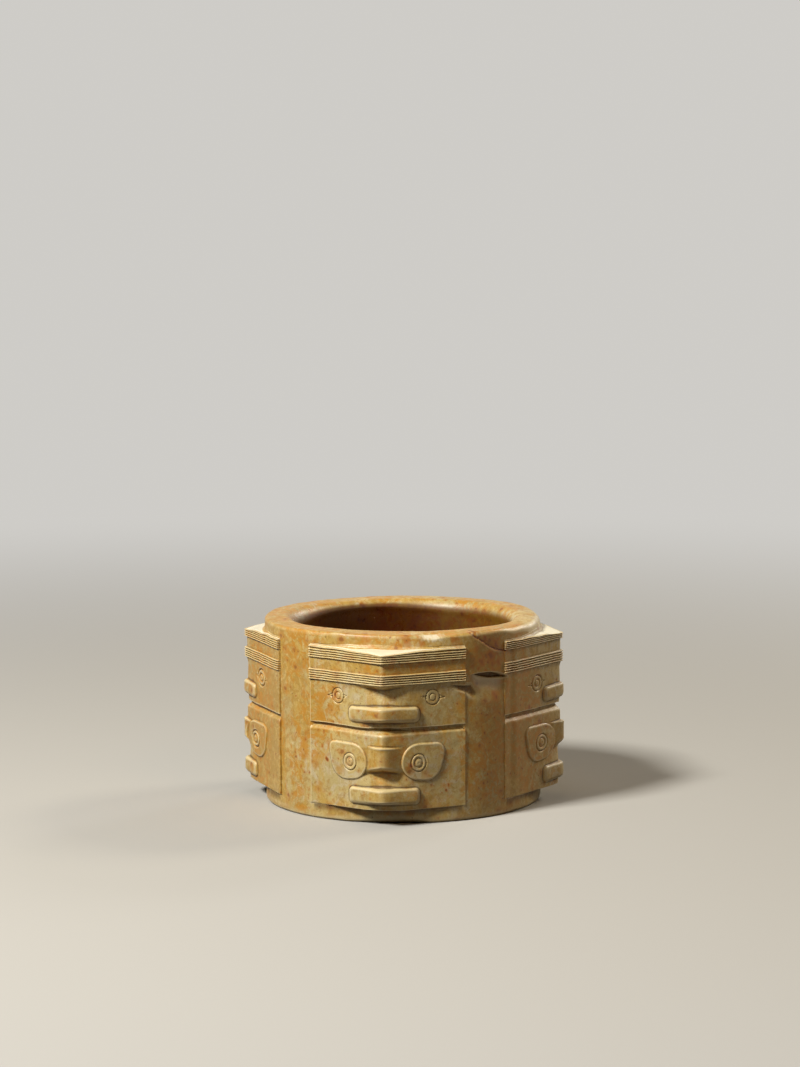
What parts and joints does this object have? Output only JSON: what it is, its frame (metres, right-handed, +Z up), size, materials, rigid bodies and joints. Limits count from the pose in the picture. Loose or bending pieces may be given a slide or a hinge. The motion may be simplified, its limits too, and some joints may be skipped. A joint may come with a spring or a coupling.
{
  "type": "jade cong tube",
  "caption": "Low stone cong: a round tube with a wide bore, squared by carved corner blocks in two registers with incised and raised mask motifs.",
  "frame": {"origin": "on the bore's axis in the plane of the foot it stands on", "axes": "+Z up along the bore; the four plain channels face about the X and Y axes and the four carved corners face the diagonals"},
  "size_m": [0.0812, 0.0812, 0.0534],
  "materials": {
    "stone": "softly polished, mottled cream, grey and ochre calcified jade"
  },
  "bodies": {
    "root": {"tube": "stone", "front_right_upper_register": "stone", "front_right_lower_register": "stone", "front_right_ridge_bands": "stone", "front_right_upper_nose": "stone", "front_right_lower_nose": "stone", "front_right_brow": "stone", "front_right_eyes": "stone", "back_right_upper_register": "stone", "back_right_lower_register": "stone", "back_right_ridge_bands": "stone", "back_right_upper_nose": "stone", "back_right_lower_nose": "stone", "back_right_brow": "stone", "back_right_eyes": "stone", "back_left_upper_register": "stone", "back_left_lower_register": "stone", "back_left_ridge_bands": "stone", "back_left_upper_nose": "stone", "back_left_lower_nose": "stone", "back_left_brow": "stone", "back_left_eyes": "stone", "front_left_upper_register": "stone", "front_left_lower_register": "stone", "front_left_ridge_bands": "stone", "front_left_upper_nose": "stone", "front_left_lower_nose": "stone", "front_left_brow": "stone", "front_left_eyes": "stone"}
  },
  "joints": []
}
